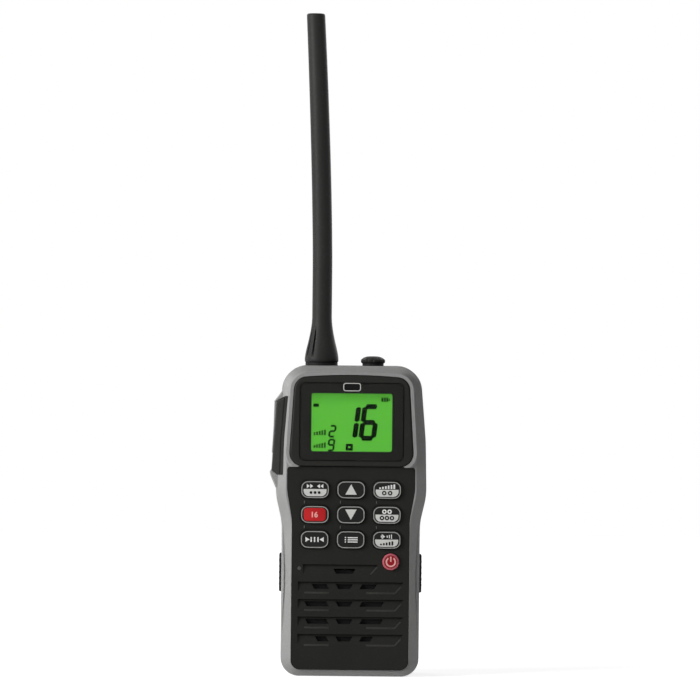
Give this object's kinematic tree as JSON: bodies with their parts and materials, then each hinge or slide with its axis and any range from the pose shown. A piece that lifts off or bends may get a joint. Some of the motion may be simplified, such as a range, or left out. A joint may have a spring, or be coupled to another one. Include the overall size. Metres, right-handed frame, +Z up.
{
  "type": "vhf marine radio",
  "caption": "Hand-held marine VHF radio with raised display, key field, louvred speaker grille, side transmit bar, screw-in whip antenna, rear battery pack and belt clip.",
  "frame": {"origin": "centre of the flat foot of the rear shell, on the surface that the radio stands on", "axes": "+X to the right as the user sees the front, +Y from the front to the back, +Z up along the antenna"},
  "size_m": [0.0692, 0.0477, 0.2936],
  "materials": {
    "silver_paint": "silver metallic lacquer on moulded plastic",
    "black_plastic": "fine-textured moulded plastic",
    "black_gloss": "satin to gloss moulded plastic",
    "clear_window": "clear polycarbonate",
    "display_green": "green backlit display",
    "light_guide": "white acrylic light guide",
    "black_rubber": "matt black rubber",
    "key_black": "silk-hard-coated silicone with light grey print",
    "key_red": "red coated silicone with light print",
    "adhesive_foam": "closed-cell adhesive foam",
    "circuit_board": "green solder mask",
    "steel": "bright steel",
    "brass": "plated brass",
    "magnet_iron": "ferrite and iron yoke",
    "speaker_paper": "treated black paper",
    "mesh_cloth": "water-repellent acoustic cloth",
    "cell_wrap": "shrink sleeve on lithium cells"
  },
  "bodies": {
    "housing": {"front_frame": "silver_paint", "front_fascia": "black_plastic", "display_bezel": "black_gloss", "rear_shell": "black_plastic", "case_gasket": "black_rubber", "case_screws": "steel", "display_window": "clear_window", "window_tape": "adhesive_foam", "lcd_panel": "display_green", "lcd_backlight": "light_guide", "main_board": "circuit_board", "board_screws": "steel", "rf_shield": "steel", "keypad_mat": "black_rubber", "key_domes": "steel", "speaker_mesh": "mesh_cloth", "speaker_gasket": "adhesive_foam", "speaker_frame": "steel", "speaker_cone": "speaker_paper", "speaker_magnet": "magnet_iron", "microphone": "black_plastic", "ptt_switch": "black_plastic", "antenna_socket": "brass", "jack_socket": "brass", "contact_block": "black_plastic", "contact_pins": "brass"},
    "channel_key": {"channel_key": "key_black"},
    "up_key": {"up_key": "key_black"},
    "power_level_key": {"power_level_key": "key_black"},
    "sixteen_key": {"sixteen_key": "key_red"},
    "down_key": {"down_key": "key_black"},
    "watch_key": {"watch_key": "key_black"},
    "scan_key": {"scan_key": "key_black"},
    "memory_key": {"memory_key": "key_black"},
    "volume_key": {"volume_key": "key_black"},
    "power_key": {"power_key": "key_red"},
    "ptt_button": {"ptt_button": "black_rubber"},
    "antenna_seal": {"antenna_seal": "black_rubber"},
    "antenna": {"antenna_whip": "black_rubber", "antenna_stud": "brass"},
    "jack_cap": {"jack_cap": "black_plastic", "jack_seal": "black_rubber"},
    "battery": {"battery_case": "black_plastic", "battery_cover": "black_plastic", "battery_seal": "black_rubber", "battery_terminals": "brass", "battery_cells": "cell_wrap", "battery_board": "circuit_board", "charge_contacts": "brass", "latch_springs": "steel", "clip_bracket": "black_plastic", "clip_screws": "steel", "clip_pin": "steel", "clip_spring": "steel"},
    "latch_left": {"latch_left": "black_plastic"},
    "latch_right": {"latch_right": "black_plastic"},
    "belt_clip": {"belt_clip": "black_plastic"}
  },
  "joints": [
    {"name": "channel_key_press", "type": "slide", "parent": "housing", "child": "channel_key", "axis": [0, 1, 0], "range_m": [0, 0.0007], "stiffness_N_per_m": 1500},
    {"name": "up_key_press", "type": "slide", "parent": "housing", "child": "up_key", "axis": [0, 1, 0], "range_m": [0, 0.0007], "stiffness_N_per_m": 1500},
    {"name": "power_level_key_press", "type": "slide", "parent": "housing", "child": "power_level_key", "axis": [0, 1, 0], "range_m": [0, 0.0007], "stiffness_N_per_m": 1500},
    {"name": "sixteen_key_press", "type": "slide", "parent": "housing", "child": "sixteen_key", "axis": [0, 1, 0], "range_m": [0, 0.0007], "stiffness_N_per_m": 1500},
    {"name": "down_key_press", "type": "slide", "parent": "housing", "child": "down_key", "axis": [0, 1, 0], "range_m": [0, 0.0007], "stiffness_N_per_m": 1500},
    {"name": "watch_key_press", "type": "slide", "parent": "housing", "child": "watch_key", "axis": [0, 1, 0], "range_m": [0, 0.0007], "stiffness_N_per_m": 1500},
    {"name": "scan_key_press", "type": "slide", "parent": "housing", "child": "scan_key", "axis": [0, 1, 0], "range_m": [0, 0.0007], "stiffness_N_per_m": 1500},
    {"name": "memory_key_press", "type": "slide", "parent": "housing", "child": "memory_key", "axis": [0, 1, 0], "range_m": [0, 0.0007], "stiffness_N_per_m": 1500},
    {"name": "volume_key_press", "type": "slide", "parent": "housing", "child": "volume_key", "axis": [0, 1, 0], "range_m": [0, 0.0007], "stiffness_N_per_m": 1500},
    {"name": "power_key_press", "type": "slide", "parent": "housing", "child": "power_key", "axis": [0, 1, 0], "range_m": [0, 0.0007], "stiffness_N_per_m": 1500},
    {"name": "ptt_press", "type": "slide", "parent": "housing", "child": "ptt_button", "axis": [1, 0, 0], "range_m": [0, 0.001], "stiffness_N_per_m": 2000},
    {"name": "antenna_rise", "type": "slide", "parent": "housing", "child": "antenna_seal", "axis": [0, 0, 1], "range_m": [0, 0.00501]},
    {"name": "antenna_turn", "type": "hinge", "parent": "antenna_seal", "child": "antenna", "pos_m": [-0.0137, 0.005, 0.137], "axis": [0, 0, 1], "range_deg": [0, 1800]},
    {"name": "cap_pull", "type": "slide", "parent": "housing", "child": "jack_cap", "axis": [0, 0, 1], "range_m": [0, 0.008]},
    {"name": "battery_slide", "type": "slide", "parent": "housing", "child": "battery", "axis": [0, 1, 0], "range_m": [0, 0.02]},
    {"name": "latch_left_press", "type": "slide", "parent": "battery", "child": "latch_left", "axis": [1, 0, 0], "range_m": [0, 0.0012], "stiffness_N_per_m": 1500},
    {"name": "latch_right_press", "type": "slide", "parent": "battery", "child": "latch_right", "axis": [-1, 0, 0], "range_m": [0, 0.0012], "stiffness_N_per_m": 1500},
    {"name": "clip_open", "type": "hinge", "parent": "battery", "child": "belt_clip", "pos_m": [0, 0.0252, 0.088], "axis": [1, 0, 0], "range_deg": [0, 20], "stiffness_Nm_per_rad": 0.6}
  ],
  "couplings": [
    {"joint": "antenna_rise", "follows": "antenna_turn", "m_per_rad": 0.00015915}
  ]
}
